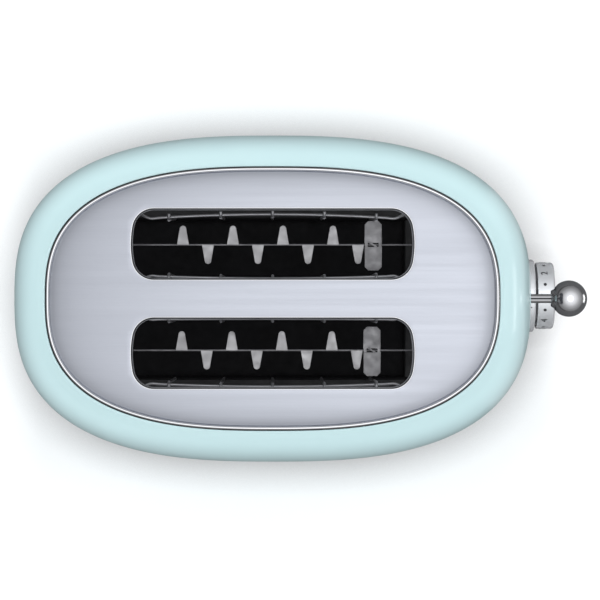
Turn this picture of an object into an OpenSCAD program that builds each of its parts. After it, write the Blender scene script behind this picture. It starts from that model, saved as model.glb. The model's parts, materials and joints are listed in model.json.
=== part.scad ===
// Two-slot pop-up toaster: an oval enamelled body, an inset steel top plate, a chrome lever and dial.
// Millimetres, +Z up. The origin is on the table, under the middle of the whole footprint.
// +X points to the lever end and +Y to the rear slot.

/* [Body] */
// Length of the enamelled body, without the lever and dial
body_l = 302.6; // [300:0.2:308]
// Width of the body across the slots
body_w = 191.6; // [190:0.2:194]
// Height from the table to the top plate
body_h = 198; // [196:1:202]
// Height of the widest line of the body
widest_z = 85; // [78:1:92]
// How square the oval plan is, where 2 is an ellipse
plan_power = 2.68; // [2.5:0.01:2.9]
// How square the shoulder is, where 2 is an ellipse
shoulder_power = 2.6; // [2.4:0.05:2.8]
// How far the body draws in from its widest line to its foot
base_inset = 2.5; // [2:0.1:3]
// Thickness of the enamelled steel
shell_t = 1.2; // [1:0.1:1.4]
// Height of the rubber feet
foot_h = 8; // [8:0.5:10]
// Height of the chrome band under the body
band_h = 10; // [9:0.5:10]

/* [Top plate] */
// Length of the top plate
plate_l = 254.6; // [252:0.1:257]
// Width of the top plate
plate_w = 147.4; // [146:0.1:149]
// Length of a bread slot
slot_l = 158.6; // [155:0.1:160]
// Width of a bread slot
slot_w = 39.6; // [38:0.1:40.4]
// Distance between the middles of the two bread slots
slot_pitch = 61.2; // [60.5:0.1:62]

/* [Lever] */
// How far the lever goes down
lever_travel = 66; // [50:1:66]
// Diameter of the ball knob
ball_d = 21; // [19:0.5:21]
// How far the ball stands beyond the end of the body
ball_reach = 30.4; // [29:0.1:31]
// Diameter of the lever rod
rod_d = 5.2; // [4:0.1:5.4]
// Height of the lever rod when it is up
lever_z = 142; // [142:1:144]

/* [Dial] */
// Diameter of the browning dial
dial_d = 40.4; // [38:0.2:41]
// Depth of the dial along its axis
dial_depth = 10.4; // [9:0.2:10.4]
// Diameter of the fixed collar behind the dial
collar_d = 44; // [43:0.2:45]
// Height of the dial's axis
dial_z = 43; // [42:0.5:43]
// How far the dial's axis stands towards the rear
dial_y = 1.8; // [1:0.1:2]

/* [Buttons] */
// Diameter of a push button
button_d = 9.2; // [8:0.2:10]
// Button height above its bezel
button_proud = 1.6; // [1.5:0.1:2.5]

/* [Toasting chamber] */
// Distance from the middle of a slot to a guide rack
rack_offset = 17.6; // [17:0.1:18]
// Diameter of the guide rack wire
wire_d = 1.8; // [1.6:0.1:2]
// Length of a carrier tooth
tooth_l = 10.6; // [10:0.1:11.5]
// Distance between carrier teeth on one side
tooth_pitch = 29; // [28:0.1:30]

/* [Crumb tray] */
// Width of the crumb tray
tray_w = 98; // [96:1:100]

/* [Hidden] */
$fn = 48;
ring_n = 64;
eps = 0.01;
button_names = ["reheat", "defrost", "bagel", "cancel"];
corner_names = ["front_left", "front_right", "rear_left", "rear_right"];
row_names = ["front", "rear"];
rack_names = ["front_outer", "front_inner", "rear_inner", "rear_outer"];

body_a = body_l / 2;
body_b = body_w / 2;
body_x = -ball_reach / 2;
shell_z = foot_h + band_h;
rim_z = body_h - 1.2;
plate_t = 1;
plate_a = plate_l / 2;
plate_b = plate_w / 2;
mouth_gap = 0.5;
mouth_a = plate_a + mouth_gap;
mouth_b = plate_b + mouth_gap;
rim_roll = 1;
lip_h = 7;
crest_u = 0.25;
crest_angle = acos(pow(crest_u, shoulder_power / 2));
shoulder_h = (rim_z - widest_z) / pow(sin(crest_angle), 2 / shoulder_power);
slot_y = slot_pitch / 2;
slot_corner_r = 12;
slot_end_r = 54;
flange_h = 8;
liner_t = 1;
floor_t = 2;
floor_z = foot_h + floor_t;
band_t = 1.5;
band_a = body_a - base_inset;
band_b = body_b - base_inset;
pan_wall_t = 2;
end_x = 88;
sheet_t = 1;
end_b = 60;
screw_x = 93;
screw_y = 56.8;
foot_x = 114;
foot_y = 56;
foot_r = 11;
gland_at = [-60, 76];
reflector_y = 57.5;
card_t = 0.8;
card_y = 54.4;
card_z = [52, 182];
ribbon_h = 3;
ribbon_t = 0.5;
ribbon_pitch = 12.5;
rack_r = wire_d / 2;
rack_z = 60;
rack_top_z = 178;
rack_wire_pitch = 29.4;
rack_rail_l = 139;
carrier_z = 136;
carrier_h = 8;
strip_shift = 0.6;
strip_t = 1;
tooth_root = 6.9;
tooth_tip = 3.8;
first_tooth_x = -52.1;
cross_x = 58;
cross_l = 9.8;
cross_w = 28.7;
arm_x = 92;
arm_t = 1.5;
block_x = arm_x + arm_t;
block_l = 17.5;
block_z = [lever_z - 16, lever_z + 10];
post_x = 102;
post_r = 3;
running_gap = 0.05;
bumper_h = 2.7;
bracket_z = [22, block_z[1] + 0.3 + bumper_h];
bracket_t = 2;
spring_r = 5;
spring_wire_r = 0.5;
spring_turns = 12;
magnet_x = 118;
board_x = 126.5;
board_t = 1.6;
pot_x = board_x + board_t;
bracket_x = 134.5;
panel_t = 2.5;
collar_x = bracket_x + panel_t;
collar_end_x = 158.8;
collar_t = 2.6;
dial_x = collar_end_x + 1.4;
shaft_r = 3;
shaft_end_x = dial_x + 6;
bezel_r = 6.8;
bezel_proud = 2.2;
button_y = 31;
button_zs = [31, 54];
button_travel = 1.5;
stem_r = 2;
stem_end = 10;
tray_end_x = end_x - 6;
tray_z = floor_z + 1;
tray_h = 7;
tray_t = 0.8;
tray_front_t = 3;
rib_h = 0.9;

// A point of the oval plan with half axes a and b, at parameter angle t
function plan_point(a, b, t) = [
    a * sign(cos(t)) * pow(abs(cos(t)), 2 / plan_power),
    b * sign(sin(t)) * pow(abs(sin(t)), 2 / plan_power)
];
function plan(a, b) = [for (i = [0:ring_n - 1]) plan_point(a, b, 360 * i / ring_n)];
function level(a, b, z) = [for (q = plan(a, b)) [q.x, q.y, z]];

// Inset of the body's side at height z, below its widest line
function low_inset(z) = base_inset * pow((widest_z - z) / (widest_z - shell_z), 2);
function low_level(z, t) = level(body_a - low_inset(z) - t, body_b - low_inset(z) - t, z);

// The shoulder at angle q, t inside the outer surface: its share of the way in, and its height
function crest_share(q) = (1 - pow(cos(q), 2 / shoulder_power)) / (1 - crest_u);
function crest_z(q, t) = widest_z + (shoulder_h - t) * pow(sin(q), 2 / shoulder_power);
function crest_level(q, t) = level(
    body_a - crest_share(q) * (body_a - mouth_a - rim_roll) - t,
    body_b - crest_share(q) * (body_b - mouth_b - rim_roll) - t,
    crest_z(q, t)
);

// Half length of the body at height z and distance y from its middle, and the plan's normal there
function side_x(y, z) = (body_a - low_inset(z))
    * pow(1 - pow(abs(y) / (body_b - low_inset(z)), plan_power), 1 / plan_power);
function side_angle(y, z) = atan2(
    sign(y) * pow(abs(y), plan_power - 1) / pow(body_b - low_inset(z), plan_power),
    pow(side_x(y, z), plan_power - 1) / pow(body_a - low_inset(z), plan_power)
);

// A bread slot's outline: straight sides, corner arcs, and a shallow arc across each end
function arc(cx, cy, r, from, to, n) = [
    for (i = [0:n]) let (q = from + (to - from) * i / n) [cx + r * cos(q), cy + r * sin(q)]
];
function slot_outline(grow) = let (
    corner_y = slot_w / 2 - slot_corner_r,
    end_c = slot_l / 2 - slot_end_r,
    corner_x = end_c + sqrt(pow(slot_end_r - slot_corner_r, 2) - pow(corner_y, 2)),
    q = atan2(corner_y, corner_x - end_c),
    half = concat(
        arc(corner_x, -corner_y, slot_corner_r + grow, -90, -q, 7),
        arc(end_c, 0, slot_end_r + grow, -q * 0.7, q * 0.7, 4),
        arc(corner_x, corner_y, slot_corner_r + grow, q, 90, 7)
    )
) concat(half, [for (p = half) -p]);

// A closed skin over rings of equal size, where the last ring meets the first
module torus_skin(rings) {
    n = len(rings[0]);
    m = len(rings);
    faces = [
        for (k = [0:m - 1], i = [0:n - 1])
            let (j = (i + 1) % n, up = (k + 1) % m)
                each [[k * n + i, up * n + i, up * n + j], [k * n + i, up * n + j, k * n + j]]
    ];
    polyhedron(points = [for (r = rings) each r], faces = faces);
}

// A round wire wound round the Z axis, its lowest and highest turns ending at 0 and height
module coil(r_mean, r_wire, height, turns, steps = 12, sides = 6) {
    n = turns * steps;
    points = [
        for (i = [0:n], s = [0:sides - 1])
            let (q = 360 * i / steps, w = 360 * s / sides, r = r_mean + r_wire * cos(w))
                [r * cos(q), r * sin(q), r_wire + (height - 2 * r_wire) * i / n + r_wire * sin(w)]
    ];
    walls = [
        for (i = [0:n - 1], s = [0:sides - 1])
            let (t = (s + 1) % sides, a = i * sides, b = a + sides)
                each [[a + s, b + t, b + s], [a + s, a + t, b + t]]
    ];
    ends = [[for (s = [0:sides - 1]) s], [for (s = [sides - 1:-1:0]) n * sides + s]];
    polyhedron(points = points, faces = concat(ends, [for (f = walls) [f[0], f[2], f[1]]]));
}

module at_body() { translate([body_x, 0, 0]) children(); }
module along_x(x, y, z) { translate([x, y, z]) rotate([0, 90, 0]) children(); }
module oval(a, b, h) { linear_extrude(h) polygon(plan(a, b)); }
module oval_ring(a, b, t, h) {
    difference() {
        oval(a, b, h);
        translate([0, 0, -1]) oval(a - t, b - t, h + 2);
    }
}
module box(x, y, z) { translate([x[0], y[0], z[0]]) cube([x[1] - x[0], y[1] - y[0], z[1] - z[0]]); }
module at_corner(i, x, y) { translate([(i % 2 == 0 ? -1 : 1) * x, (i < 2 ? -1 : 1) * y, 0]) children(); }
module at_row(i) { translate([0, (i == 0 ? -1 : 1) * slot_y, 0]) children(); }

// Places its children at button i, with +X along the body's outward normal
module at_button(i) {
    y = (i < 2 ? -1 : 1) * button_y;
    z = button_zs[i % 2];
    translate([side_x(y, z), y, z]) rotate([0, 0, side_angle(y, z)]) children();
}

// ---- Outside ----

module shell() {
    low_steps = 3;
    crest_steps = 9;
    inner_crest = 72;
    low_z = [for (i = [0:low_steps]) shell_z + (widest_z - shell_z) * i / low_steps];
    outer = concat(
        [for (i = [0:low_steps - 1]) low_level(low_z[i], 0)],
        [for (i = [0:crest_steps]) crest_level(crest_angle * i / crest_steps, 0)]
    );
    lip = [
        level(mouth_a, mouth_b, rim_z - rim_roll),
        level(mouth_a, mouth_b, rim_z - lip_h),
        level(mouth_a + shell_t, mouth_b + shell_t, rim_z - lip_h),
        level(mouth_a + shell_t, mouth_b + shell_t, rim_z - rim_roll - shell_t)
    ];
    inner = concat(
        [for (i = [6:-1:0]) crest_level(inner_crest * i / 6, shell_t)],
        [for (i = [low_steps - 1:-1:0]) low_level(low_z[i], shell_t)]
    );
    color("#c9e6e8") at_body() difference() {
        torus_skin(concat(outer, lip, inner));
        lever_window();
        along_x(collar_x, dial_y, dial_z) cylinder(r = collar_d / 2, h = 40);
        for (i = [0:3]) at_button(i) along_x(-6, 0, 0) cylinder(r = bezel_r - 1, h = 12);
    }
}

// The slot in the body's end that the lever rod runs in
module lever_window() {
    slot_r = rod_d / 2 + 1.1;
    low = lever_z - lever_travel - 2;
    high = lever_z + 2;
    box([body_a - 12, body_a + 5], [-slot_r, slot_r], [low, high]);
    for (z = [low, high]) along_x(body_a - 12, 0, z) cylinder(r = slot_r, h = 17);
}

module top_plate() {
    skirt_h = 3.5;
    color("#b8bcc8") at_body() difference() {
        union() {
            translate([0, 0, body_h - plate_t]) oval(plate_a, plate_b, plate_t);
            translate([0, 0, body_h - plate_t - skirt_h]) oval_ring(plate_a, plate_b, plate_t, skirt_h + eps);
        }
        for (i = [0, 1]) at_row(i) translate([0, 0, body_h - 20]) linear_extrude(30) polygon(slot_outline(0));
    }
}

// The wall that hangs from a slot's edge and guides the bread
module slot_liner(i) {
    color("#b8bcc8") at_body() at_row(i) translate([0, 0, body_h - plate_t - flange_h]) difference() {
        linear_extrude(flange_h) polygon(slot_outline(liner_t));
        translate([0, 0, -1]) linear_extrude(flange_h + 2) polygon(slot_outline(0));
    }
}

module base_band() {
    color("#d8dadc") at_body() difference() {
        translate([0, 0, foot_h]) oval_ring(band_a, band_b, band_t, band_h);
        tray_doorway(0);
    }
}

// The opening in the left end of the base that the crumb tray slides out of
module tray_doorway(z) {
    box([-body_a - 5, -body_a * 0.8], [-tray_w / 2 - 1.5, tray_w / 2 + 1.5], [z, shell_z + 20]);
}

module base_pan() {
    wall_h = 10;
    outer_a = band_a - band_t;
    outer_b = band_b - band_t;
    vent = [34, 2.6];
    color("#26282b") at_body() difference() {
        union() {
            translate([0, 0, foot_h]) oval(outer_a, outer_b, floor_t);
            difference() {
                translate([0, 0, floor_z - eps]) oval_ring(outer_a, outer_b, pan_wall_t, wall_h + eps);
                tray_doorway(floor_z);
            }
            for (y = [4 - tray_w / 2, tray_w / 2 - 6])
                box([-band_a + 8, end_x - 10], [y, y + 2], [foot_h, floor_z + rib_h]);
            for (i = [0:3]) at_corner(i, foot_x, foot_y)
                translate([0, 0, foot_h]) cylinder(r = 4.5, h = floor_t + 5);
            box([magnet_x - 8, magnet_x + 8], [-9, 9], [foot_h, 20]);
        }
        for (i = [0:3]) at_corner(i, screw_x, screw_y) translate([0, 0, foot_h - 1]) cylinder(r = 1.6, h = 5);
        for (i = [0:3]) at_corner(i, foot_x, foot_y) translate([0, 0, foot_h - 1]) cylinder(r = 1.5, h = 6);
        translate([gland_at.x, gland_at.y, foot_h - 1]) cylinder(r = 6.5, h = 5);
        intersection() {
            translate([0, 0, foot_h - 1]) oval_ring(band_a + 1, band_b + 1, tray_front_t + 1.3, 10);
            tray_doorway(0);
        }
        for (x = [-1, 0, 1], y = [62, 68, 74, 80], s = [-1, 1])
            if (!(x == -1 && s == 1))
                translate([x * 48, s * y, foot_h + floor_t / 2])
                    cube([vent[0], vent[1], floor_t + 2], center = true);
    }
}

module pan_screws() {
    color("#c4c6c8") at_body() for (i = [0:3]) at_corner(i, screw_x, screw_y) {
        translate([0, 0, foot_h - 1.6]) cylinder(r = 3, h = 1.6);
        translate([0, 0, foot_h - eps]) cylinder(r = 1.5, h = 5.5);
    }
}

module foot(i) {
    color("#1d1e20") at_body() at_corner(i, foot_x, foot_y) rotate_extrude() polygon([
        [1.6, 4], [1.6, foot_h], [foot_r, foot_h], [foot_r, 3], [foot_r - 0.8, 0], [4, 0], [4, 4]
    ]);
}

module foot_screws() {
    color("#c4c6c8") at_body() for (i = [0:3]) at_corner(i, foot_x, foot_y) {
        translate([0, 0, 2]) cylinder(r = 3.2, h = 2);
        translate([0, 0, 4 - eps]) cylinder(r = 1.5, h = 9);
    }
}

module cord_gland() {
    color("#1d1e20") at_body() translate([gland_at.x, gland_at.y, 0]) difference() {
        union() {
            translate([0, 0, foot_h - 2]) cylinder(r = 8.5, h = 2);
            translate([0, 0, foot_h - eps]) cylinder(r = 6.5, h = 8);
        }
        translate([0, 0, foot_h - 3]) cylinder(r = 3.6, h = 12);
    }
}

module cord_cleats() {
    color("#26282b") at_body() for (x = [-48, 48]) translate([x, 0, 0]) {
        translate([0, 0, 2]) cylinder(r = 13, h = 1.8);
        translate([0, 0, 3.8 - eps]) cylinder(r = 7, h = foot_h - 3.8 + eps);
    }
}

// ---- Chassis and heating ----

module chassis_end(side) {
    foot_b = 6;
    color("#9fa3a6") at_body() difference() {
        union() {
            box(end_span(side, 0, sheet_t), [-end_b, end_b], [shell_z + 2, 190]);
            box(end_span(side, 0, sheet_t), [-30, 30], [189, body_h - plate_t]);
            for (s = [-1, 1]) {
                y = s > 0 ? [end_b - foot_b, end_b] : [-end_b, foot_b - end_b];
                box(end_span(side, 0, sheet_t), y, [floor_z, shell_z + 3]);
                box(end_span(side, 0, 10), y, [floor_z, floor_z + 1.2]);
            }
        }
        for (y = [-screw_y, screw_y]) translate([side * screw_x, y, floor_z - 1]) cylinder(r = 1.6, h = 4);
        for (r = [-1, 1], s = [-1, 1]) along_x(side * end_x - 5, r * slot_y + s * rack_offset, rack_z)
            cylinder(r = rack_r + running_gap, h = 10);
        for (i = [0, 1]) at_row(i) carrier_track(side);
    }
}
function end_span(side, from, to) = side > 0 ? [end_x + from, end_x + to] : [-end_x - to, -end_x - from];

// The slit in a chassis end that a carrier's strip runs in
module carrier_track(side) {
    low = carrier_z - carrier_h - lever_travel - 3;
    box([side * end_x - 5, side * end_x + 5], [strip_shift - 1.6, strip_shift + 1.6], [low, carrier_z + 3]);
}

module reflector(side) {
    y = side > 0 ? [reflector_y, reflector_y + 0.8] : [-reflector_y - 0.8, -reflector_y];
    color("#b9bcbf") at_body() box([-end_x, end_x], y, [24, 190]);
}

module heater_card(y) {
    color("#c9b98f") at_body() box([-end_x, end_x], [y - card_t / 2, y + card_t / 2], card_z);
}

// Flat resistance ribbons on the face of a card that looks towards side
module ribbons(y, side) {
    face = y + side * card_t / 2;
    span = side > 0 ? [face, face + ribbon_t] : [face - ribbon_t, face];
    for (z = [card_z[0] + 8:ribbon_pitch:card_z[1] - 6]) box([-80, 80], span, [z, z + ribbon_h]);
}

module heater_ribbon(y, sides) { color("#8a8178") at_body() for (s = sides) ribbons(y, s); }

module guide_post() {
    color("#d0d2d4") at_body() translate([post_x, 0, bracket_z[0] + bracket_t])
        cylinder(r = post_r, h = bracket_z[1] - bracket_z[0] - bracket_t);
}

module post_bracket(z) {
    color("#9fa3a6") at_body() box([end_x + sheet_t, post_x + 7], [-10, 10], [z, z + bracket_t]);
}

module post_bumper() {
    color("#1d1e20") at_body() translate([post_x, 0, bracket_z[1] - bumper_h]) difference() {
        cylinder(r = 6, h = bumper_h);
        translate([0, 0, -1]) cylinder(r = post_r, h = bumper_h + 2);
    }
}

module return_spring() {
    foot_z = bracket_z[0] + bracket_t;
    color("#a8abae") at_body() translate([post_x, 0, foot_z])
        coil(spring_r, spring_wire_r, block_z[0] - foot_z, spring_turns);
}

module magnet_core() {
    color("#7c8084") at_body() translate([magnet_x, 0, 0])
        box([-4, 4], [-5, 5], [20, block_z[0] - lever_travel - 0.4]);
}

module magnet_coil() {
    color("#b5642a") at_body() translate([magnet_x, 0, 0]) difference() {
        box([-7.5, 7.5], [-9, 9], [26, 52]);
        box([-4, 4], [-5, 5], [20, 60]);
    }
}

// ---- Controls ----

module control_board() {
    color("#2f6b46") at_body() difference() {
        box([board_x, board_x + board_t], [-46, 46], [16, 62]);
        box([board_x - 1, board_x + 3], [-6, 6], [58, 63]);
    }
}

module board_parts() {
    color("#3a3c40") at_body() {
        box([board_x - 16, board_x], [20, 38], [22, 38]);
        box([board_x - 13, board_x], [-40, -20], [22, 42]);
        along_x(board_x - 12, 30, 50) cylinder(r = 5, h = 12);
        along_x(board_x - 8, -30, 52) cylinder(r = 4, h = 8);
    }
}

module browning_pot() {
    color("#4a4c50") at_body() difference() {
        union() {
            along_x(pot_x, dial_y, dial_z) cylinder(r = 8.5, h = bracket_x - pot_x);
            along_x(bracket_x - eps, dial_y, dial_z) cylinder(r = 4.5, h = 8);
        }
        along_x(bracket_x, dial_y, dial_z) cylinder(r = shaft_r + running_gap, h = 10);
    }
}

// How far in a button's stem reaches when pressed, at button height z
function pressed_x(z) = let (q = side_angle(button_y, z))
    side_x(button_y, z) - (stem_end + button_travel) * cos(q) - stem_r * sin(q);
function switch_y(z) = button_y - stem_end * sin(side_angle(button_y, z));

module control_bracket() {
    half_w = 42;
    hole = 4;
    color("#26282b") at_body() difference() {
        union() {
            box([bracket_x, bracket_x + panel_t], [-half_w, half_w], [20, 66]);
            for (y = [-half_w, half_w - 8])
                box([bracket_x - 5, bracket_x + panel_t], [y, y + 8], [floor_z, 21]);
        }
        along_x(bracket_x - 1, dial_y, dial_z) cylinder(r = 4.5, h = panel_t + 2);
        for (z = button_zs, s = [-1, 1]) translate([bracket_x, s * switch_y(z), z])
            cube([10, 2 * hole, 2 * hole], center = true);
    }
}

module dial_collar() {
    color("#dfe1e3") at_body() difference() {
        along_x(collar_x, dial_y, dial_z) cylinder(r = collar_d / 2, h = collar_end_x - collar_x);
        along_x(collar_x - 1, dial_y, dial_z) cylinder(r = collar_d / 2 - collar_t, h = 40);
    }
}

module button_bezels() {
    color("#dfe1e3") at_body() for (i = [0:3]) at_button(i) difference() {
        union() {
            along_x(-5, 0, 0) cylinder(r = bezel_r - 1, h = 6);
            along_x(0.4, 0, 0) cylinder(r = bezel_r, h = bezel_proud - 0.4);
        }
        along_x(-6, 0, 0) cylinder(r = button_d / 2 + running_gap, h = 12);
    }
}

// The push switches stand on the board and look out through the bracket
module button_switches() {
    half_w = 3;
    color("#4a4c50") at_body() for (z = button_zs, s = [-1, 1]) translate([0, s * switch_y(z), z]) {
        box([board_x + board_t, bracket_x], [-half_w, half_w], [-half_w, half_w]);
        along_x(bracket_x - eps, 0, 0) cylinder(r = 1.6, h = pressed_x(z) - 0.1 - bracket_x);
    }
}

module button(i) {
    color("#eef0f1") at_body() at_button(i) {
        along_x(-4, 0, 0) cylinder(r = button_d / 2, h = 4 + bezel_proud + button_proud);
        along_x(-stem_end, 0, 0) cylinder(r = stem_r, h = stem_end - 4 + eps);
    }
}

module browning_dial() {
    wall = 2.2;
    hub_r = 6;
    color("#e3e5e7") at_body() difference() {
        along_x(dial_x, dial_y, dial_z) cylinder(r = dial_d / 2, h = dial_depth);
        difference() {
            along_x(dial_x - 1, dial_y, dial_z) cylinder(r = dial_d / 2 - wall, h = dial_depth + 1 - wall);
            along_x(dial_x - 2, dial_y, dial_z) cylinder(r = hub_r, h = dial_depth + 3);
        }
        along_x(dial_x - 1, dial_y, dial_z) cylinder(r = shaft_r, h = shaft_end_x - dial_x + 1);
    }
}

module dial_shaft() {
    start = bracket_x + 0.5;
    color("#c4c6c8") at_body() along_x(start, dial_y, dial_z) cylinder(r = shaft_r, h = shaft_end_x - start);
}

// ---- Lever and carriage ----

module carriage_block() {
    color("#e8e6df") at_body() difference() {
        box([block_x, block_x + block_l], [-11, 11], block_z);
        translate([post_x, 0, block_z[0] - 1])
            cylinder(r = post_r + running_gap, h = block_z[1] - block_z[0] + 2);
        along_x(post_x + 4.5, 0, lever_z) cylinder(r = rod_d / 2, h = 10);
    }
}

module carriage_arm() {
    half_w = slot_y + 6;
    color("#b4b7ba") at_body() box([arm_x, arm_x + arm_t], [-half_w, half_w], [block_z[0], carrier_z + 2]);
}

module armature_plate() {
    color("#7c8084") at_body() box([block_x + block_l, magnet_x + 7], [-8, 8], [block_z[0], block_z[0] + 2]);
}

module lever_rod() {
    start = post_x + 4.5;
    color("#d8dadc") at_body() along_x(start, 0, lever_z) cylinder(r = rod_d / 2, h = ball_x() - 5 - start);
}
function ball_x() = body_a + ball_reach - ball_d / 2;

module lever_ball() {
    neck_l = 2.6;
    color("#e3e5e7") at_body() difference() {
        union() {
            translate([ball_x(), 0, lever_z]) sphere(r = ball_d / 2);
            along_x(ball_x() - ball_d / 2, 0, lever_z) cylinder(r1 = 5, r2 = 7, h = neck_l);
        }
        along_x(ball_x() - 25, 0, lever_z) cylinder(r = rod_d / 2, h = 20);
    }
}

module tooth(x, side) {
    root = [x - tooth_root / 2, x + tooth_root / 2];
    tip_y = side * (strip_t / 2 + tooth_l - tooth_tip / 2);
    translate([0, 0, carrier_z - strip_t]) linear_extrude(strip_t) {
        polygon([[root[0], 0], [root[1], 0], [x + tooth_tip / 2, tip_y], [x - tooth_tip / 2, tip_y]]);
        translate([x, tip_y]) circle(r = tooth_tip / 2);
    }
}

module bread_carrier(i) {
    chamfer = 2;
    cx = cross_l / 2;
    cy = cross_w / 2;
    color("#a6a8ab") at_body() at_row(i) {
        translate([0, strip_shift, 0]) {
            box([-end_x - 3, arm_x], [-strip_t / 2, strip_t / 2], [carrier_z - carrier_h, carrier_z]);
            for (k = [0:3]) {
                tooth(first_tooth_x + k * tooth_pitch, 1);
                tooth(first_tooth_x + (k + 0.5) * tooth_pitch, -1);
            }
        }
        translate([cross_x, 0, carrier_z - eps]) linear_extrude(strip_t) polygon([
            [-cx, chamfer - cy], [chamfer - cx, -cy], [cx - chamfer, -cy], [cx, chamfer - cy],
            [cx, cy - chamfer], [cx - chamfer, cy], [chamfer - cx, cy], [-cx, cy - chamfer]
        ]);
    }
}

// A wire frame that leans in to hold a slice: a pivot rod, five uprights and a top rail
module guide_rack(i) {
    y = [-slot_y - rack_offset, rack_offset - slot_y, slot_y - rack_offset, slot_y + rack_offset][i];
    rod_l = 2 * (end_x + 2.5);
    color("#a6a8ab") at_body() translate([0, y, 0]) {
        along_x(-rod_l / 2, 0, rack_z) cylinder(r = rack_r, h = rod_l);
        along_x(-rack_rail_l / 2, 0, rack_top_z - rack_r) cylinder(r = rack_r, h = rack_rail_l);
        for (k = [-2:2]) translate([k * rack_wire_pitch, 0, rack_z])
            cylinder(r = rack_r, h = rack_top_z - rack_z);
    }
}

// ---- Crumb tray ----

// The tray's outline, drawn in by inset, with its left end following the oval body
module tray_slab(inset, h) {
    half_w = tray_w / 2 - inset;
    end_a = band_a - tray_front_t - inset;
    intersection() {
        oval(end_a, band_b - tray_front_t - inset, h);
        box([-end_a, tray_end_x - inset], [-half_w, half_w], [0, h]);
    }
}

module crumb_tray() {
    color("#b4b7ba") at_body() translate([0, 0, tray_z]) difference() {
        tray_slab(0, tray_h);
        translate([0, 0, tray_t]) tray_slab(tray_t, tray_h);
    }
}

// The tray's front continues the chrome band, with a low finger lip in the middle
module crumb_tray_front() {
    gap = 0.5;
    lip = 2.3;
    color("#d8dadc") at_body() {
        intersection() {
            translate([0, 0, foot_h + gap]) oval_ring(band_a, band_b, tray_front_t, band_h - 2 * gap);
            box([-body_a, -body_a * 0.8], [-tray_w / 2 - 1, tray_w / 2 + 1], [0, 40]);
        }
        intersection() {
            translate([0, 0, foot_h + gap]) oval_ring(band_a + lip, band_b + lip, lip + 1, 2);
            box([-body_a, -body_a * 0.8], [-15, 15], [0, 40]);
        }
    }
}

shell();
top_plate();
slot_liner(0);  // slot_liner_front
slot_liner(1);  // slot_liner_rear
base_band();
base_pan();
pan_screws();
cord_gland();
cord_cleats();
foot(0);  // foot_front_left
foot(1);  // foot_front_right
foot(2);  // foot_rear_left
foot(3);  // foot_rear_right
foot_screws();
chassis_end(-1);  // chassis_end_left
chassis_end(1);  // chassis_end_right
reflector(-1);  // reflector_front
reflector(1);  // reflector_rear
heater_card(-card_y);  // heater_card_front
heater_card(0);  // heater_card_centre
heater_card(card_y);  // heater_card_rear
heater_ribbon(-card_y, [1]);  // heater_ribbon_front
heater_ribbon(0, [-1, 1]);  // heater_ribbon_centre
heater_ribbon(card_y, [-1]);  // heater_ribbon_rear
guide_post();
post_bracket(bracket_z[1]);  // post_bracket_top
post_bracket(bracket_z[0]);  // post_bracket_bottom
post_bumper();
return_spring();
magnet_core();
magnet_coil();
control_board();
board_parts();
browning_pot();
control_bracket();
dial_collar();
button_bezels();
button_switches();
carriage_block();
carriage_arm();
armature_plate();
lever_rod();
lever_ball();
bread_carrier(0);  // bread_carrier_front
bread_carrier(1);  // bread_carrier_rear
guide_rack(0);  // guide_rack_front_outer
guide_rack(1);  // guide_rack_front_inner
guide_rack(2);  // guide_rack_rear_inner
guide_rack(3);  // guide_rack_rear_outer
browning_dial();
dial_shaft();
button(0);  // button_reheat
button(1);  // button_defrost
button(2);  // button_bagel
button(3);  // button_cancel
crumb_tray();
crumb_tray_front();
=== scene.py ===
"""A two-slot pop-up toaster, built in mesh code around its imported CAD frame.

Everything is in metres in the part's own frame: +X points to the lever end, +Y to the rear slot, +Z up.
Overall sizes and places come from the CAD nodes' boxes; the laws of the oval body repeat the design's own.
"""
import json
import math

import bmesh
import bpy
import numpy as np
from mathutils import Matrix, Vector
from mathutils.geometry import delaunay_2d_cdt


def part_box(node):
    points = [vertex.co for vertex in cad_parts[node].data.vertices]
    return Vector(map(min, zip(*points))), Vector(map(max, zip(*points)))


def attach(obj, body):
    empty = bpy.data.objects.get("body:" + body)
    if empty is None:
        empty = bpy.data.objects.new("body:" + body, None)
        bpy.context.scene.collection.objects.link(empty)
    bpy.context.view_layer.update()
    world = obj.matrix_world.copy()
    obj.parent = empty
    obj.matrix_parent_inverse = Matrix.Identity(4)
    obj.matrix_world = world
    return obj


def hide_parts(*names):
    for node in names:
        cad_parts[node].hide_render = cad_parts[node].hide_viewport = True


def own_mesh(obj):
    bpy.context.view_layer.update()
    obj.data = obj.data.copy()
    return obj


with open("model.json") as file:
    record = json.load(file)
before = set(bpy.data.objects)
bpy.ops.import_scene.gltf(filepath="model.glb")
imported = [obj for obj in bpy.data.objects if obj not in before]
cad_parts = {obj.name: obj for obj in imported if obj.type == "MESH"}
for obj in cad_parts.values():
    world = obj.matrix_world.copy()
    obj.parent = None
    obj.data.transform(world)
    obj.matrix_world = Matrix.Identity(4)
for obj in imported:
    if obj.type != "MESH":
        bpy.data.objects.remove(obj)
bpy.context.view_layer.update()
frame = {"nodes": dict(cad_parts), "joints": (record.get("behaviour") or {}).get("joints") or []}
MM = 0.001


# ---- Sizes and places ----

def mid(lo, hi):
    return (lo + hi) / 2


shell_lo, shell_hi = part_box("shell")
plate_lo, plate_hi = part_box("top_plate")
band_lo, band_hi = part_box("base_band")
centre_x = mid(shell_lo.x, shell_hi.x)
BODY_A, BODY_B = (shell_hi.x - shell_lo.x) / 2, shell_hi.y
PLATE_A, PLATE_B, PLATE_Z = (plate_hi.x - plate_lo.x) / 2, plate_hi.y, plate_hi.z
SHELL_Z, RIM_Z = shell_lo.z, shell_hi.z
BAND_A, BAND_B = band_hi.x - centre_x, band_hi.y

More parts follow.
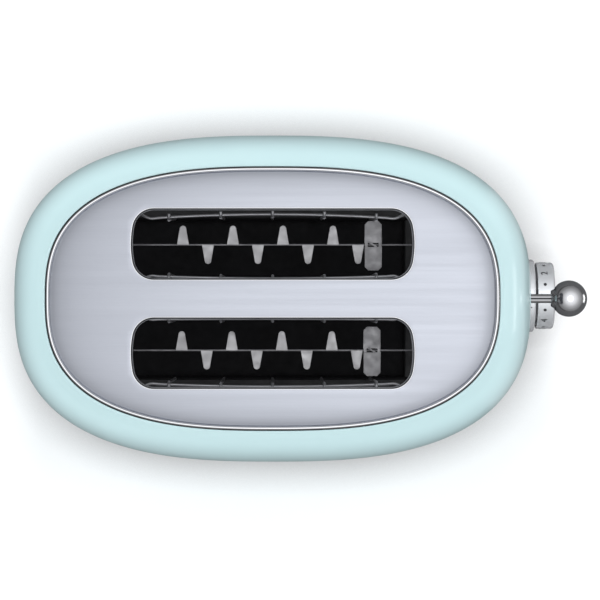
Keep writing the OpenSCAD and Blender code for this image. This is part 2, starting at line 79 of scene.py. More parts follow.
PLAN_POWER = 2.68
SHOULDER_POWER = 2.6
WIDEST_Z = 85 * MM
BASE_INSET = 2.5 * MM
SHELL_T = 1.2 * MM
CREST_U = 0.25
MOUTH_GAP = 0.5 * MM
RIM_ROLL = 1.0 * MM
MOUTH_A, MOUTH_B = PLATE_A + MOUTH_GAP, PLATE_B + MOUTH_GAP
CREST_ANGLE = math.acos(CREST_U ** (SHOULDER_POWER / 2))
SHOULDER_H = (RIM_Z - WIDEST_Z) / math.sin(CREST_ANGLE) ** (2 / SHOULDER_POWER)

SLOT_Y = mid(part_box("bread_carrier_rear")[0].y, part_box("bread_carrier_rear")[1].y)
SLOT_L, SLOT_W = 158.6 * MM, 39.6 * MM
SLOT_CORNER_R, SLOT_END_R = 12 * MM, 54 * MM
LEVER_Z = mid(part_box("lever_rod")[0].z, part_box("lever_rod")[1].z)
ROD_R = (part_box("lever_rod")[1].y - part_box("lever_rod")[0].y) / 2
LEVER_TRAVEL = next(j for j in frame["joints"] if j["name"] == "lever_slide")["range_m"][1]
DIAL_LO, DIAL_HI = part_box("browning_dial")
DIAL_Y, DIAL_Z = mid(DIAL_LO.y, DIAL_HI.y), mid(DIAL_LO.z, DIAL_HI.z)
DIAL_R = (DIAL_HI.z - DIAL_LO.z) / 2
DIAL_STEP_DEG = 45
MARK_TURN_DEG = -2.9
INDEX_TURN_DEG = -19

PLATE_T = 0.8 * MM
SLOT_ROLL = 0.8 * MM
RACK_WIRE_R = 0.9 * MM
POST_STEP = 29.4 * MM
RAIL_HALF = 69.5
TOOTH_STEP, FIRST_TOOTH_X, TOOTH_L = 29, -52.1, 10.6 * MM
STRIP_SHIFT = 0.6 * MM
CROSS_X = 58.2 * MM


# ---- Materials ----

def shader_of(mat):
    return mat.node_tree.nodes["Principled BSDF"]


def material(name, color, metallic=0.0, roughness=0.5, **sockets):
    """A Principled material with its even values set on the shader's own sockets."""
    mat = bpy.data.materials.new(name)
    mat.use_nodes = True
    shader = shader_of(mat)
    shader.inputs["Base Color"].default_value = (*color, 1)
    shader.inputs["Metallic"].default_value = metallic
    shader.inputs["Roughness"].default_value = roughness
    for key, value in sockets.items():
        shader.inputs[key.replace("_", " ")].default_value = value
    return mat


def noise(mat, scale, stretch=(1, 1, 1), detail=4.0, rough=0.55):
    """A noise texture over object space, stretched by the given scales; returns its Fac socket."""
    nodes, links = mat.node_tree.nodes, mat.node_tree.links
    coords = nodes.new("ShaderNodeTexCoord")
    mapping = nodes.new("ShaderNodeMapping")
    mapping.inputs["Scale"].default_value = stretch
    texture = nodes.new("ShaderNodeTexNoise")
    texture.inputs["Scale"].default_value = scale
    texture.inputs["Detail"].default_value = detail
    texture.inputs["Roughness"].default_value = rough
    links.new(coords.outputs["Object"], mapping.inputs["Vector"])
    links.new(mapping.outputs["Vector"], texture.inputs["Vector"])
    return texture.outputs["Fac"]


def remap(mat, socket, low, high):
    """Maps the middle span of a noise socket onto low to high."""
    node = mat.node_tree.nodes.new("ShaderNodeMapRange")
    for key, value in (("From Min", 0.3), ("From Max", 0.7), ("To Min", low), ("To Max", high)):
        node.inputs[key].default_value = value
    mat.node_tree.links.new(socket, node.inputs["Value"])
    return node.outputs["Result"]


def blend_colors(mat, socket, color_a, color_b):
    """Mixes two base colours by a socket."""
    node = mat.node_tree.nodes.new("ShaderNodeMix")
    node.data_type = "RGBA"
    node.inputs[6].default_value = (*color_a, 1)
    node.inputs[7].default_value = (*color_b, 1)
    mat.node_tree.links.new(socket, node.inputs[0])
    mat.node_tree.links.new(node.outputs[2], shader_of(mat).inputs["Base Color"])


def bump(mat, sockets, distance):
    """Adds one bump per (socket, strength) pair, chained into the shader's normal."""
    nodes, links = mat.node_tree.nodes, mat.node_tree.links
    last = None
    for socket, strength in sockets:
        node = nodes.new("ShaderNodeBump")
        node.inputs["Strength"].default_value = strength
        node.inputs["Distance"].default_value = distance
        links.new(socket, node.inputs["Height"])
        if last:
            links.new(last, node.inputs["Normal"])
        last = node.outputs["Normal"]
    links.new(last, shader_of(mat).inputs["Normal"])


def rough_by(mat, socket, low, high):
    """Lets a noise socket vary the roughness between low and high."""
    mat.node_tree.links.new(remap(mat, socket, low, high), shader_of(mat).inputs["Roughness"])


def make_enamel():
    """Glossy stove enamel: an even pale colour under a thin coat, with a slight orange peel."""
    mat = material("enamel", (0.49, 0.67, 0.69), roughness=0.3, Coat_Weight=0.6, Coat_Roughness=0.08)
    blend_colors(mat, remap(mat, noise(mat, 9), 0, 1), (0.475, 0.655, 0.675), (0.495, 0.675, 0.695))
    rough_by(mat, noise(mat, 45), 0.28, 0.33)
    bump(mat, [(noise(mat, 420, detail=2), 0.025)], 0.0003)
    return mat


def make_brushed_plate():
    """Sheet steel brushed along X, so that its highlights spread across the plate."""
    mat = material("plate_steel", (0.52, 0.545, 0.60), metallic=1.0, roughness=0.34, Anisotropic=0.55)
    across = mat.node_tree.nodes.new("ShaderNodeCombineXYZ")
    across.inputs[1].default_value = 1.0
    mat.node_tree.links.new(across.outputs[0], shader_of(mat).inputs["Tangent"])
    grain = noise(mat, 1, (28, 2600, 600), detail=6, rough=0.7)
    broad = noise(mat, 1, (6, 260, 60), detail=3)
    blend_colors(mat, remap(mat, grain, 0, 1), (0.505, 0.53, 0.585), (0.535, 0.56, 0.615))
    rough_by(mat, broad, 0.31, 0.37)
    bump(mat, [(grain, 0.06), (noise(mat, 14), 0.03)], 0.0003)
    return mat


def make_chrome(name="chrome", color=(0.86, 0.87, 0.885), low=0.035, high=0.10, metallic=1.0, marks=0.015):
    """Bright plating with fine polishing marks; low and high bound its roughness."""
    mat = material(name, color, metallic=metallic, roughness=(low + high) / 2)
    rough_by(mat, noise(mat, 60), low, high)
    if marks:
        bump(mat, [(noise(mat, 900, detail=2), marks)], 0.0002)
    return mat


def make_moulded(name, color, roughness=0.55, grain=1400, strength=0.18):
    """Moulded plastic, rubber, card or paint with a fine grain."""
    mat = material(name, color, roughness=roughness)
    lighter = tuple(min(1, c * 1.25 + 0.004) for c in color)
    blend_colors(mat, remap(mat, noise(mat, 40), 0, 1), color, lighter)
    rough_by(mat, noise(mat, 160), roughness - 0.08, roughness + 0.1)
    bump(mat, [(noise(mat, grain, detail=3), strength)], 0.0002)
    return mat


def make_dull_steel(name, light, dark, roughness=0.45, stretch=(60, 60, 60), metallic=1.0):
    """Bare or galvanised sheet and wire: mottled, with a faint grain. With a low metallic share and a
    near-black colour it paints the shade deep inside the body.
    """
    mat = material(name, light, metallic=metallic, roughness=roughness, Specular_IOR_Level=0.5 * metallic)
    blend_colors(mat, remap(mat, noise(mat, 1, stretch), 0, 1), light, dark)
    rough_by(mat, noise(mat, 220), roughness - 0.1, roughness + 0.12)
    bump(mat, [(noise(mat, 900), 0.12)], 0.0002)
    return mat


enamel = make_enamel()
brushed_plate = make_brushed_plate()
chrome = make_chrome()
satin_chrome = make_chrome("satin_chrome", (0.87, 0.885, 0.91), 0.24, 0.28, metallic=0.7, marks=0)
knob_chrome = make_chrome("knob_chrome", (0.90, 0.91, 0.93), 0.12, 0.18, marks=0)
black_plastic = make_moulded("black_plastic", (0.018, 0.019, 0.021))
rubber = make_moulded("rubber", (0.014, 0.014, 0.015), roughness=0.75, grain=2200, strength=0.25)
# The chamber and tray steels are near black: painted shade deep inside the body under the slots.
dark_steel = make_dull_steel("chamber_steel", (0.014, 0.014, 0.016), (0.009, 0.009, 0.01), 0.55, metallic=0.2)
tray_steel = make_dull_steel("tray_steel", (0.016, 0.016, 0.018), (0.01, 0.01, 0.011), 0.5, metallic=0.2)
chassis_steel = make_dull_steel("chassis_steel", (0.42, 0.43, 0.44), (0.33, 0.34, 0.35))
wire_steel = make_dull_steel("wire_steel", (0.52, 0.53, 0.55), (0.42, 0.42, 0.44), roughness=0.38)
carrier_steel = make_dull_steel("carrier_steel", (0.56, 0.56, 0.57), (0.52, 0.52, 0.53), roughness=0.5)
cross_steel = make_dull_steel("cross_steel", (0.38, 0.38, 0.39), (0.34, 0.34, 0.35), roughness=0.5)
rail_steel = make_dull_steel("rail_steel", (0.24, 0.24, 0.25), (0.17, 0.17, 0.18), roughness=0.5)
liner_steel = make_dull_steel("liner_steel", (0.36, 0.37, 0.39), (0.30, 0.31, 0.33), roughness=0.4)
mica = make_moulded("mica", (0.10, 0.085, 0.06), roughness=0.5, grain=500, strength=0.1)
ribbon_alloy = make_dull_steel("ribbon_alloy", (0.20, 0.18, 0.17), (0.10, 0.09, 0.09), roughness=0.5)
copper = make_dull_steel("copper_winding", (0.60, 0.24, 0.10), (0.45, 0.17, 0.07), roughness=0.35)
board_green = make_moulded("board_green", (0.02, 0.12, 0.06), roughness=0.35, grain=600, strength=0.05)
dark_parts = make_moulded("dark_parts", (0.03, 0.03, 0.034), roughness=0.45)
nylon = make_moulded("nylon", (0.62, 0.60, 0.55), roughness=0.5)
cap_white = make_moulded("button_cap", (0.78, 0.80, 0.81), roughness=0.28, grain=900, strength=0.03)
ink = make_moulded("ink", (0.012, 0.012, 0.014), roughness=0.4, grain=1200, strength=0.05)


# ---- Mesh helpers ----

def add_object(name, verts, faces, mat, sharp_deg=38):
    mesh = bpy.data.meshes.new(name)
    mesh.from_pydata([tuple(map(float, v)) for v in verts], [], faces)
    edit = bmesh.new()
    edit.from_mesh(mesh)
    bmesh.ops.remove_doubles(edit, verts=edit.verts, dist=1e-7)
    bmesh.ops.recalc_face_normals(edit, faces=edit.faces)
    edit.to_mesh(mesh)
    edit.free()
    mesh.shade_smooth()
    mesh.set_sharp_from_angle(angle=math.radians(sharp_deg))
    mesh.materials.append(mat)
    obj = bpy.data.objects.new(name, mesh)
    bpy.context.collection.objects.link(obj)
    return obj


def place(obj, body, slot, *nodes):
    """Rides obj on a body and stands it in for CAD nodes; slot is not used."""
    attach(obj, body)
    if nodes:
        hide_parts(*nodes)
    return obj


def grid_faces(rows, cols, close_rows=False, close_cols=True, first=0):
    """Quads over a grid of rows by cols vertices."""
    faces = []
    for r in range(rows if close_rows else rows - 1):
        for c in range(cols if close_cols else cols - 1):
            r2, c2 = (r + 1) % rows, (c + 1) % cols
            corners = ((r, c), (r, c2), (r2, c2), (r2, c))
            faces.append([first + row * cols + col for row, col in corners])
    return faces


class Builder:
    """Collects vertices and faces of several solids that make one piece."""

    def __init__(self):
        self.verts, self.faces = [], []

    def grid(self, rings, close_rows=False, close_cols=True, caps=False):
        first, cols = len(self.verts), len(rings[0])
        for ring in rings:
            self.verts.extend(ring)
        self.faces += grid_faces(len(rings), cols, close_rows, close_cols, first)
        if caps:
            last = first + (len(rings) - 1) * cols
            self.faces += [list(range(first, first + cols))[::-1], list(range(last, last + cols))]
        return self

    def lathe(self, profile, origin, axis="x", steps=64):
        """Revolves (along, radius) points about an axis through origin."""
        rings = []
        for along, radius in profile:
            ring = []
            for i in range(steps):
                q = 2 * math.pi * i / steps
                c, s = radius * math.cos(q), radius * math.sin(q)
                ring.append((along, c, s) if axis == "x" else (c, s, along))
            rings.append([tuple(np.add(p, origin)) for p in ring])
        closed = profile[0] == profile[-1]
        return self.grid(rings, caps=profile[0][1] > 0 and not closed, close_rows=closed)

    def tube(self, path, radius, steps=12, closed=False):
        """A round wire along a path of points."""
        pts = [Vector(p) for p in path]
        n = len(pts)
        normal, rings, last = None, [], None
        for i, p in enumerate(pts):
            before = pts[i - 1] if i or closed else p
            after = pts[(i + 1) % n] if i < n - 1 or closed else p
            tangent = (after - before).normalized()
            if normal is None:
                normal = tangent.orthogonal().normalized()
            else:
                normal = (last.rotation_difference(tangent) @ normal).normalized()
            last = tangent
            side = tangent.cross(normal)
            rings.append([
                tuple(p + (normal * math.cos(q) + side * math.sin(q)) * radius)
                for q in (2 * math.pi * k / steps for k in range(steps))
            ])
        return self.grid(rings, close_rows=closed, caps=not closed)

    def prism(self, outline, z0, z1):
        """An upright prism over a plan outline."""
        return self.grid([[(x, y, z) for x, y in outline] for z in (z0, z1)], caps=True)

    def build(self, name, mat, sharp_deg=38):
        return add_object(name, self.verts, self.faces, mat, sharp_deg)


def oriented_lathe(profile, origin, axis, steps=64):
    """Revolves (along, radius) points about a free axis through origin."""
    side = axis.orthogonal().normalized()
    up = axis.cross(side)
    rings = []
    for along, radius in profile:
        rings.append([
            tuple(origin + axis * along + (side * math.cos(q) + up * math.sin(q)) * radius)
            for q in (2 * math.pi * i / steps for i in range(steps))
        ])
    closed = profile[0] == profile[-1]
    return Builder().grid(rings[:-1] if closed else rings, close_rows=closed, caps=not closed)


def soften(obj, width):
    """Rounds the hard edges of a piece."""
    mod = obj.modifiers.new("soft_edges", "BEVEL")
    mod.width, mod.segments = width, 2
    mod.limit_method, mod.angle_limit = "ANGLE", math.radians(35)
    mod.harden_normals = True
    return obj


def smooth_path(points, per_span=8):
    """A Catmull-Rom curve through points."""
    p = [np.array(q, float) for q in points]
    p = [2 * p[0] - p[1], *p, 2 * p[-1] - p[-2]]
    out = []
    for i in range(1, len(p) - 2):
        for k in range(per_span):
            t = k / per_span
            out.append(0.5 * (
                2 * p[i] + (p[i + 1] - p[i - 1]) * t
                + (2 * p[i - 1] - 5 * p[i] + 4 * p[i + 1] - p[i + 2]) * t * t
                + (3 * p[i] - p[i - 1] - 3 * p[i + 1] + p[i + 2]) * t ** 3
            ))
    return [*out, p[-2]]


def arc(cx, cy, r, start, end, n):
    """Points of an arc in plan, angles in radians."""
    return [(cx + r * math.cos(q), cy + r * math.sin(q)) for q in np.linspace(start, end, n)]


# ---- The oval body's shape laws ----

def power(value, exponent):
    """A power that keeps the sign of its base."""
    return np.sign(value) * np.abs(value) ** exponent


def even_angles(a, b, n):
    """Parameter angles that space n points evenly round an oval."""
    t = np.linspace(0, 2 * math.pi, 20001)
    x, y = a * power(np.cos(t), 2 / PLAN_POWER), b * power(np.sin(t), 2 / PLAN_POWER)
    length = np.concatenate([[0], np.cumsum(np.hypot(np.diff(x), np.diff(y)))])
    return np.interp(np.linspace(0, length[-1], n, endpoint=False), length, t)


def oval(a, b, angles):
    """Plan points of an oval with half axes a and b."""
    x = centre_x + a * power(np.cos(angles), 2 / PLAN_POWER)
    y = b * power(np.sin(angles), 2 / PLAN_POWER)
    return np.column_stack([x, y])


def oval_level(a, b, z, angles):
    """An oval's points at a height."""
    return [(x, y, z) for x, y in oval(a, b, angles)]


def low_inset(z):
    """How far the body has drawn in at a height below its widest line."""
    return BASE_INSET * ((WIDEST_Z - z) / (WIDEST_Z - SHELL_Z)) ** 2


def crest(q, inside=0.0):
    """Half axes and height of the shoulder at angle q, at a depth inside the outer surface."""
    share = (1 - math.cos(q) ** (2 / SHOULDER_POWER)) / (1 - CREST_U)
    a = BODY_A - share * (BODY_A - MOUTH_A - RIM_ROLL) - inside
    b = BODY_B - share * (BODY_B - MOUTH_B - RIM_ROLL) - inside
    return a, b, WIDEST_Z + (SHOULDER_H - inside) * math.sin(q) ** (2 / SHOULDER_POWER)


def side_x(y, z):
    """Distance of the body's end from its middle, at y and a height."""
    if z > WIDEST_Z:
        a, b, _ = crest(math.asin(((z - WIDEST_Z) / SHOULDER_H) ** (SHOULDER_POWER / 2)))
    else:
        a, b = BODY_A - low_inset(z), BODY_B - low_inset(z)
    return a * (1 - (abs(y) / b) ** PLAN_POWER) ** (1 / PLAN_POWER)


# ---- Enamelled shell ----

def cut(obj, cutters):
    """Cuts solids out of obj, then removes those solids."""
    for cutter in cutters:
        mod = obj.modifiers.new("cut", "BOOLEAN")
        mod.operation, mod.solver, mod.object = "DIFFERENCE", "EXACT", cutter
    done = obj.evaluated_get(bpy.context.evaluated_depsgraph_get())
    mesh = bpy.data.meshes.new_from_object(done)
    obj.modifiers.clear()
    obj.data = mesh
    for cutter in cutters:
        bpy.data.objects.remove(cutter)


def window_outline(r, low, high, n=14):
    """(y, z) points round the lever's slot, r from its middle line."""
    top = arc(0, high, r, 0, math.pi, n)
    bottom = arc(0, low, r, math.pi, 2 * math.pi, n)
    rise = np.linspace(high, low, n)[1:-1]
    return [*top, *[(-r, z) for z in rise], *bottom, *[(r, z) for z in rise[::-1]]]


def make_shell():
    angles = even_angles(BODY_A, BODY_B, 320)
    outer, inner = [], []
    for z in np.linspace(SHELL_Z, WIDEST_Z, 14)[:-1]:
        k = low_inset(z)
        outer.append(oval_level(BODY_A - k, BODY_B - k, z, angles))
        inner.append(oval_level(BODY_A - k - SHELL_T, BODY_B - k - SHELL_T, z, angles))
    for q in np.linspace(0, CREST_ANGLE, 44):
        outer.append(oval_level(*crest(q), angles))
    for q in np.linspace(0, math.radians(72), 26):
        inner.append(oval_level(*crest(q, SHELL_T), angles))
    # The rim turns over in a small round and drops inside the plate's edge.
    roll, lean = 0.75 * MM, math.radians(19)
    roll_z = RIM_Z - roll * math.cos(lean)
    lip = []
    for q in np.linspace(lean, -math.pi / 2, 9)[1:]:
        grow = roll + roll * math.sin(q)
        lip.append(oval_level(MOUTH_A + grow, MOUTH_B + grow, roll_z + roll * math.cos(q), angles))
    low = RIM_Z - 7 * MM
    for grow, z in ((0, low), (SHELL_T, low), (SHELL_T, RIM_Z - 3 * MM)):
        lip.append(oval_level(MOUTH_A + grow, MOUTH_B + grow, z, angles))
    rings = [*outer, *lip, *inner[::-1]]
    shell = Builder().grid(rings, close_rows=True).build("enamel_shell", enamel, 50)

    r = ROD_R + 1.1 * MM
    low_z, high_z = LEVER_Z - LEVER_TRAVEL - 2 * MM, LEVER_Z + 2 * MM
    depth = 14 * MM
    end = centre_x + BODY_A
    outline = window_outline(r, low_z, high_z)
    window = Builder().grid(
        [[(x, y, z) for y, z in outline] for x in (end - depth, end + depth)], caps=True
    ).build("window_cutter", enamel)
    collar_r = (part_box("dial_collar")[1].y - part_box("dial_collar")[0].y) / 2
    hole = Builder().lathe(
        [(-depth, collar_r - 0.3 * MM), (depth, collar_r - 0.3 * MM)], (end, DIAL_Y, DIAL_Z), steps=96
    ).build("collar_cutter", enamel)
    cut(shell, [window, hole])
    shell.data.shade_smooth()
    shell.data.set_sharp_from_angle(angle=math.radians(50))
    place(shell, "body", "enamel", "shell")
    shell.visible_glossy = False

    outline = window_outline(r + 0.15 * MM, low_z, high_z)
    edge = [(centre_x + side_x(y, z) - 0.35 * MM, y, z) for y, z in outline]
    lip_ring = Builder().tube(edge, 0.6 * MM, 12, closed=True).build("lever_window_edge", enamel, 80)
    place(lip_ring, "body", "enamel")


# ---- Steel top plate ----

def slot_outline(grow, n=16):
    """Plan points round a bread slot about its own middle, grown outwards."""
    corner_y = SLOT_W / 2 - SLOT_CORNER_R
    end_c = SLOT_L / 2 - SLOT_END_R
    corner_x = end_c + math.sqrt((SLOT_END_R - SLOT_CORNER_R) ** 2 - corner_y ** 2)
    q = math.atan2(corner_y, corner_x - end_c)
    half = [
        *arc(corner_x, -corner_y, SLOT_CORNER_R + grow, -math.pi / 2, -q, n),
        *arc(end_c, 0, SLOT_END_R + grow, -q, q, n)[1:-1],
        *arc(corner_x, corner_y, SLOT_CORNER_R + grow, q, math.pi / 2, n),
    ]
    top = [(x, SLOT_W / 2 + grow) for x in np.linspace(corner_x, -corner_x, 60)[1:-1]]
    return [*half, *top, *[(-x, -y) for x, y in half], *[(-x, -y) for x, y in top]]


def inside(points, polygon):
    """Which points lie inside a polygon, by crossings."""
    x, y = points[:, 0], points[:, 1]
    hit = np.zeros(len(points), bool)
    px, py = polygon[:, 0], polygon[:, 1]
    for i in range(len(polygon)):
        j = i - 1
        if py[i] == py[j]:
            continue
        crosses = (py[i] > y) != (py[j] > y)
        hit ^= crosses & (x < (px[j] - px[i]) * (y - py[i]) / (py[j] - py[i]) + px[i])
    return hit


def crown_z(x, y):
    """Height of the gently crowned plate, falling away towards its rim."""
    u, v = abs(x - centre_x) / PLATE_A, abs(y) / PLATE_B
    rho = (u ** PLAN_POWER + v ** PLAN_POWER) ** (1 / PLAN_POWER)
    w = (1 - rho) * PLATE_B
    edge = 0.8 * math.exp(-(w - 2 * MM) / (3.0 * MM)) + 1.9 * math.exp(-(w - 2 * MM) / (8.5 * MM))
    return PLATE_Z - 0.8 * MM * rho ** 2 - edge * MM


def slot_loop(grow, side):
    """A bread slot's plan points at its own place: side is -1 for the front slot, 1 for the rear."""
    return np.array(slot_outline(grow)) + (centre_x, side * SLOT_Y)


def make_top_plate():
    angles = even_angles(PLATE_A, PLATE_B, 320)
    rim = [(0.9 * MM, 4.4 * MM), (0.9 * MM, 3.95 * MM), (1.6 * MM, 3.9 * MM)]
    rings = [oval_level(PLATE_A - s, PLATE_B - s, PLATE_Z - drop, angles) for s, drop in rim]
    for s in (2.2, 2.7, 3.3, 4.2, 5.4, 6.8, 8.4):
        pts = oval(PLATE_A - s * MM, PLATE_B - s * MM, angles)
        rings.append([(x, y, crown_z(x, y)) for x, y in pts])
    builder = Builder().grid(rings)
    border = np.array([(x, y) for x, y, _ in rings[-1]])

    loops = [border]
    for side in (-1, 1):
        loop = slot_loop(SLOT_ROLL, side)
        loops.append(loop)
        walls = [[(x, y, crown_z(x, y)) for x, y in loop]]
        for q in np.linspace(0, math.pi / 2, 7)[1:]:
            ring = slot_loop(SLOT_ROLL * (1 - math.sin(q)), side)
            drop = SLOT_ROLL * (1 - math.cos(q))
            walls.append([(x, y, crown_z(*loop[i]) - drop) for i, (x, y) in enumerate(ring)])
        walls.append([(x, y, PLATE_Z - 2.2 * MM) for x, y in slot_loop(0, side)])
        builder.grid(walls)

    # The flat part between the rim and the slots is filled with even triangles.
    step = 2.4 * MM
    gx = np.arange(-PLATE_A, PLATE_A, step) + centre_x
    gy = np.arange(-PLATE_B, PLATE_B, step)
    grid = np.array([(x, y) for x in gx for y in gy])
    keep = inside(grid, np.array(oval(PLATE_A - 9.6 * MM, PLATE_B - 9.6 * MM, angles)))
    for side in (-1, 1):
        keep &= ~inside(grid, slot_loop(SLOT_ROLL + 1.2 * MM, side))
    coords = [Vector(p) for p in np.vstack([*loops, grid[keep]])]
    edges, first = [], 0
    for loop in loops:
        n = len(loop)
        edges += [(first + i, first + (i + 1) % n) for i in range(n)]
        first += n
    out_verts, _, out_faces, *_ = delaunay_2d_cdt(coords, edges, [], 0, 1e-7)
    points = np.array([(v.x, v.y) for v in out_verts])
    centres = np.array([points[f].mean(axis=0) for f in out_faces])
    good = inside(centres, loops[0]) & ~inside(centres, loops[1]) & ~inside(centres, loops[2])
    base = len(builder.verts)
    builder.verts += [(x, y, crown_z(x, y)) for x, y in points]
    builder.faces += [[base + i for i in f] for f, ok in zip(out_faces, good) if ok]
    plate = add_object("steel_top", builder.verts, builder.faces, brushed_plate, 60)
    thick = plate.modifiers.new("sheet", "SOLIDIFY")
    thick.thickness, thick.offset = PLATE_T, -1
    place(plate, "body", "plate_steel", "top_plate")
    bead_r = 0.95 * MM
    path = oval_level(PLATE_A - bead_r, PLATE_B - bead_r, PLATE_Z - 2.7 * MM, angles)
    bead = Builder().tube(path, bead_r, 16, closed=True)
    place(bead.build("rim_bead", chrome, 80), "body", "chrome")


def make_slot_liners():
    """The drawn walls of the two bread slots, each standing just inside the plate's rolled edge."""
    for side, node in ((-1, "slot_liner_front"), (1, "slot_liner_rear")):
        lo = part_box(node)[0]
        top = PLATE_Z - 2.3 * MM
        section = [(0.4, lo.z), (-0.8, lo.z + 0.8 * MM), (-0.85, top - 0.2 * MM), (-0.7, top), (-0.55, top),
                   (-0.4, top - 0.2 * MM), (-0.35, lo.z + 1 * MM), (0.8, lo.z + 0.3 * MM)]
        rings = [[(x, y, z) for x, y in slot_loop(grow * MM, side)] for grow, z in section]
        liner = Builder().grid(rings, close_rows=True).build(node + "_wall", liner_steel, 50)
        place(liner, "body", "wire_steel", node)
        r = 0.45 * MM
        path = [(x, y, crown_z(x, y) - r - 0.02 * MM) for x, y in slot_loop(r, side)]
        edge = Builder().tube(path, r, 12, closed=True).build(node + "_edge", chrome, 80)
        place(edge, "body", "chrome")


# ---- Chrome band, crumb tray front and tray ----

def band_piece(name, half_y, at_end, profile):
    """Sweeps a closed (inset, z) profile round the band's oval: its left end only, or all but that end."""
    t = np.linspace(0, 2 * math.pi, 6001)
    plan = oval(BAND_A, BAND_B, t)
    left = (plan[:, 0] < centre_x) & (np.abs(plan[:, 1]) < half_y)
    turn = t[left]
    span = (turn.min(), turn.max())
    angles = np.linspace(*span, 90) if at_end else np.linspace(span[1] - 2 * math.pi, span[0], 420)
    loops = [oval_level(BAND_A - inset, BAND_B - inset, z, angles) for inset, z in profile]
    columns = [[loop[i] for loop in loops] for i in range(len(angles))]
    return Builder().grid(columns, caps=True).build(name, chrome, 32)


def rounded_profile(depth, z0, z1, r, n=6):
    """A closed (inset, z) section with its outer edges rounded."""
    outer = [(r - r * math.cos(q), z1 - r + r * math.sin(q)) for q in np.linspace(0, math.pi / 2, n)]
    lower = [(r - r * math.sin(q), z0 + r - r * math.cos(q)) for q in np.linspace(0, math.pi / 2, n)]
    return [*lower[1:], *outer, (depth, z1), (depth, z0)]


def make_band():
    profile = rounded_profile(1.5 * MM, band_lo.z, band_hi.z, 0.8 * MM)
    band = band_piece("chrome_band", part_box("crumb_tray_front")[1].y + 0.5 * MM, False, profile)
    place(band, "body", "chrome", "base_band")
    lo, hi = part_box("crumb_tray_front")
    front = band_piece("tray_front", hi.y, True, rounded_profile(3 * MM, lo.z, hi.z, 0.8 * MM))
    place(front, "tray", "chrome", "crumb_tray_front")
    profile = rounded_profile(3.3 * MM, lo.z, lo.z + 2 * MM, 0.7 * MM)
    pull = band_piece("tray_pull", 15 * MM, True, [(inset - 2.3 * MM, z) for inset, z in profile])
    place(pull, "tray", "chrome")


def make_tray():
    lo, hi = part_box("crumb_tray")
    t = 0.8 * MM

    def outline(inset):
        """The tray's plan points: straight sides and an end that follows the band's oval."""
        a, b = BAND_A - 3 * MM - inset, BAND_B - 3 * MM - inset
        left = oval(a, b, np.linspace(math.pi / 2, 3 * math.pi / 2, 400))
        half_y = hi.y - inset
        left = [tuple(p) for p in left if abs(p[1]) < half_y]
        x_left = left[0][0]
        top = [(x, half_y) for x in np.linspace(hi.x - inset, x_left, 12)[:-1]]
        return [*top, *left, *[(x, -y) for x, y in top[::-1]]]

    def resample(points):
        """The same closed outline in 240 even steps."""
        p = np.array([*points, points[0]])
        d = np.concatenate([[0], np.cumsum(np.hypot(*np.diff(p, axis=0).T))])
        s = np.linspace(0, d[-1], 240, endpoint=False)
        return np.column_stack([np.interp(s, d, p[:, 0]), np.interp(s, d, p[:, 1])])

    outer, inner = resample(outline(0)), resample(outline(t))
    lips = [(outer, lo.z), (outer, hi.z), (inner, hi.z), (inner, lo.z + t)]
    rings = [[(x, y, z) for x, y in plan] for plan, z in lips]
    # The crumb pan is near black: painted shade under the slots.
    tray = soften(Builder().grid(rings, caps=True).build("crumb_pan", tray_steel, 30), 0.3 * MM)
    place(tray, "tray", "chassis_steel", "crumb_tray")


# ---- Feet and underside ----

def make_feet():
    recess = [(0.0016, 0.004), (0.0035, 0.004), (0.0042, 0.0004), (0.0048, 0)]
    for node in ("foot_front_left", "foot_front_right", "foot_rear_left", "foot_rear_right"):
        lo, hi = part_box(node)
        x, y, r, h = mid(lo.x, hi.x), mid(lo.y, hi.y), (hi.x - lo.x) / 2, hi.z
        edge = [(r - 0.0018, 0), (r - 0.0008, 0.0003), (r - 0.0003, 0.0012), (r, 0.003),
                (r, h - 0.001), (r - 0.0005, h)]
        profile = [(z, rad) for rad, z in [*recess, *edge, (0.0016, h)]]
        foot = Builder().lathe([*profile, profile[0]], (x, y, 0), axis="z", steps=64)
        place(foot.build(node + "_rubber", rubber, 40), "body", "rubber", node)


# ---- Lever ----

def make_lever():
    rod_lo, rod_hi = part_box("lever_rod")
    start, end = rod_lo.x, rod_hi.x
    groove, deep = math.radians(12), 1.0 * MM
    turns = np.linspace(groove, 2 * math.pi - groove, 56)
    section = [(ROD_R * math.sin(q), ROD_R * math.cos(q)) for q in turns]
    half, rim = ROD_R * math.sin(groove), ROD_R * math.cos(groove)
    section += [(-half, rim - deep), (half, rim - deep)]
    stations = ((start, 0.9), (start + 0.0003, 1), (end, 1))
    rings = [[(x, k * y, LEVER_Z + k * z) for y, z in section] for x, k in stations]
    rod = Builder().grid(rings, caps=True).build("lever_arm", chrome, 30)
    # A dark strip fills the rod's top groove: a painted dark reflection along the groove.
    groove_shade = [(-half, rim - deep), (half, rim - deep), (half, rim - 0.2 * MM), (-half, rim - 0.2 * MM)]
    ends = [[(x, y, LEVER_Z + z) for y, z in groove_shade] for x in (start + 1 * MM, end)]
    place(Builder().grid(ends, caps=True).build("lever_groove_shade", dark_parts), "carriage", "dark_parts")
    place(rod, "carriage", "chrome", "lever_rod")
    lo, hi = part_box("lever_ball")
    r = (hi.z - lo.z) / 2
    ball_x = hi.x - r
    join = 0.0067
    touch = math.sqrt(r * r - join * join)
    neck = [
        (lo.x - ball_x, ROD_R), (lo.x - ball_x, ROD_R + 0.0018), (lo.x - ball_x + 0.0004, ROD_R + 0.0023),
        (-touch - 0.0005, join - 0.0010), (-touch, join),
    ]
    first = math.atan2(join, -touch)
    ball = [(r * math.cos(q), r * math.sin(q)) for q in np.linspace(first, 0.004, 48)[1:]]
    knob = Builder().lathe([*neck, *ball], (ball_x, 0, LEVER_Z), steps=96).build("ball_knob", knob_chrome, 40)
    place(knob, "carriage", "chrome", "lever_ball")


# ---- Dial and collar ----

